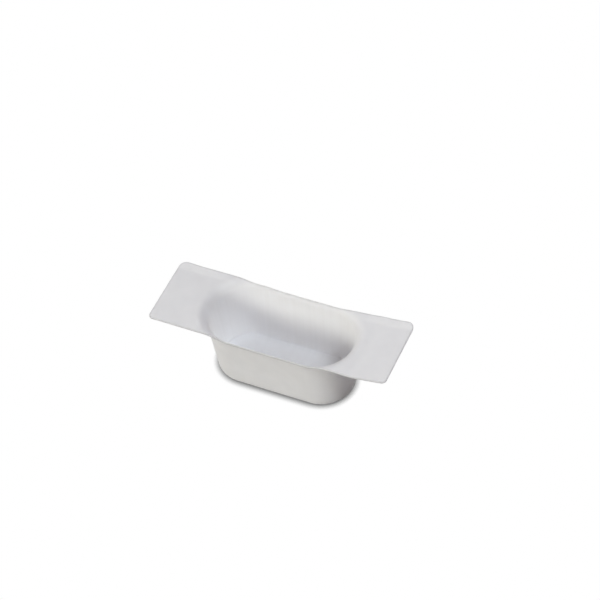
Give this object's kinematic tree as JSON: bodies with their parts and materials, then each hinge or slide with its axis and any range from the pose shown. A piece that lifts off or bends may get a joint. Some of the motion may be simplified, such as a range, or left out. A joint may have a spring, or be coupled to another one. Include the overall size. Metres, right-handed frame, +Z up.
{
  "type": "weighing boat",
  "caption": "Small translucent plastic weighing boat: a deep pan with round ends, formed in a straight strip of thin sheet, with flat grip tabs past its ends.",
  "frame": {"origin": "middle of the underside of the pan's base", "axes": "+X along the strip towards the tab that is bent up, +Z up out of the pan's mouth"},
  "size_m": [0.0362, 0.0112, 0.0113],
  "materials": {
    "sheet": "translucent white, satin"
  },
  "bodies": {
    "root": {"boat": "sheet"}
  },
  "joints": []
}
